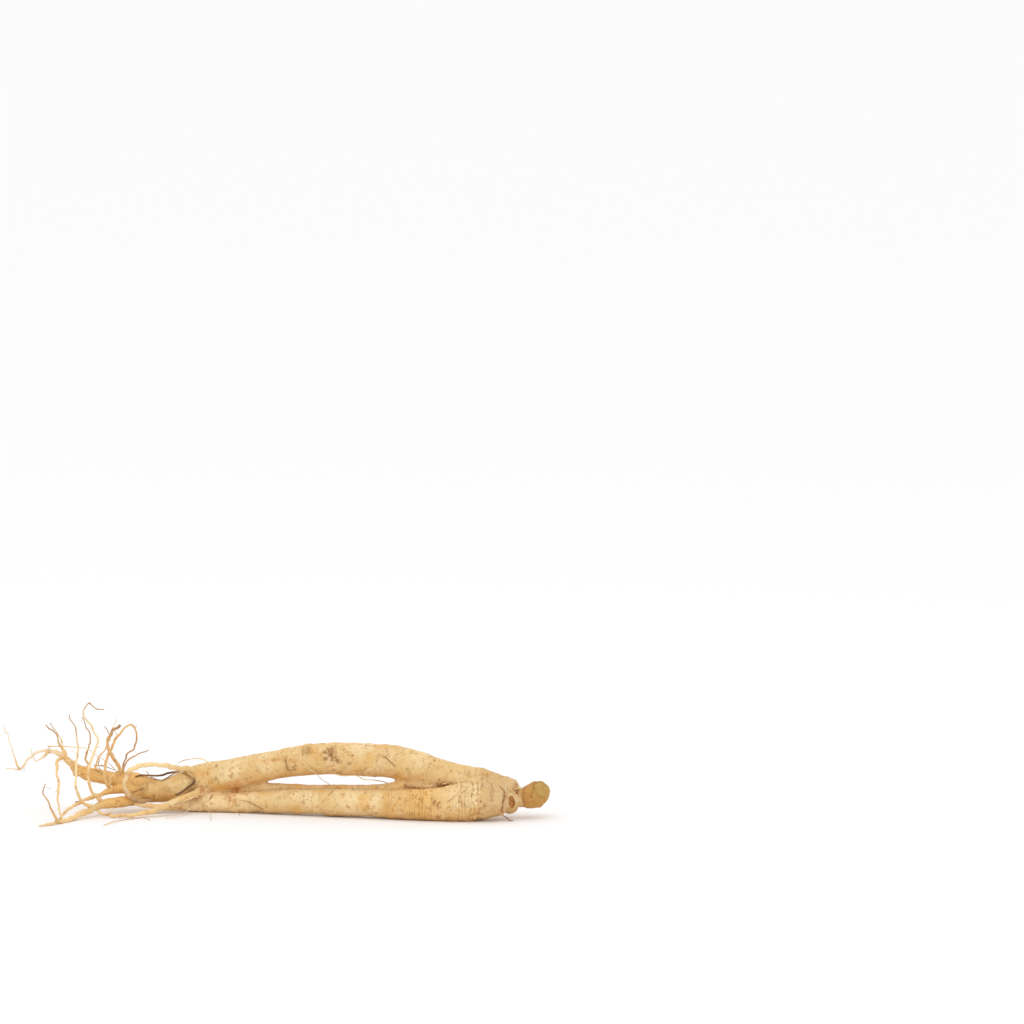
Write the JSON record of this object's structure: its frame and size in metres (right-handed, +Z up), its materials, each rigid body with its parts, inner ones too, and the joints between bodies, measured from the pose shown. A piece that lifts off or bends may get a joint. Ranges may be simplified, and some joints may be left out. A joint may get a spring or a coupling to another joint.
{
  "type": "ginseng root",
  "caption": "Fresh ginseng root lying on its belly: ringed body, lower leg, arched leg, slim rear leg, stem stub and a fan of thin rootlets.",
  "frame": {"origin": "middle of the small flat spot under the ringed body, on the surface that the root lies on", "axes": "+X along the root towards the crown and stem stub, +Y from the lower leg's side to the arched leg's side, +Z up"},
  "size_m": [0.2061, 0.0567, 0.0427],
  "materials": {
    "root_skin": "matte, pale tan root skin with brown lenticels, ring wrinkles and scars"
  },
  "bodies": {
    "root": {"ginseng_root": "root_skin"}
  },
  "joints": []
}
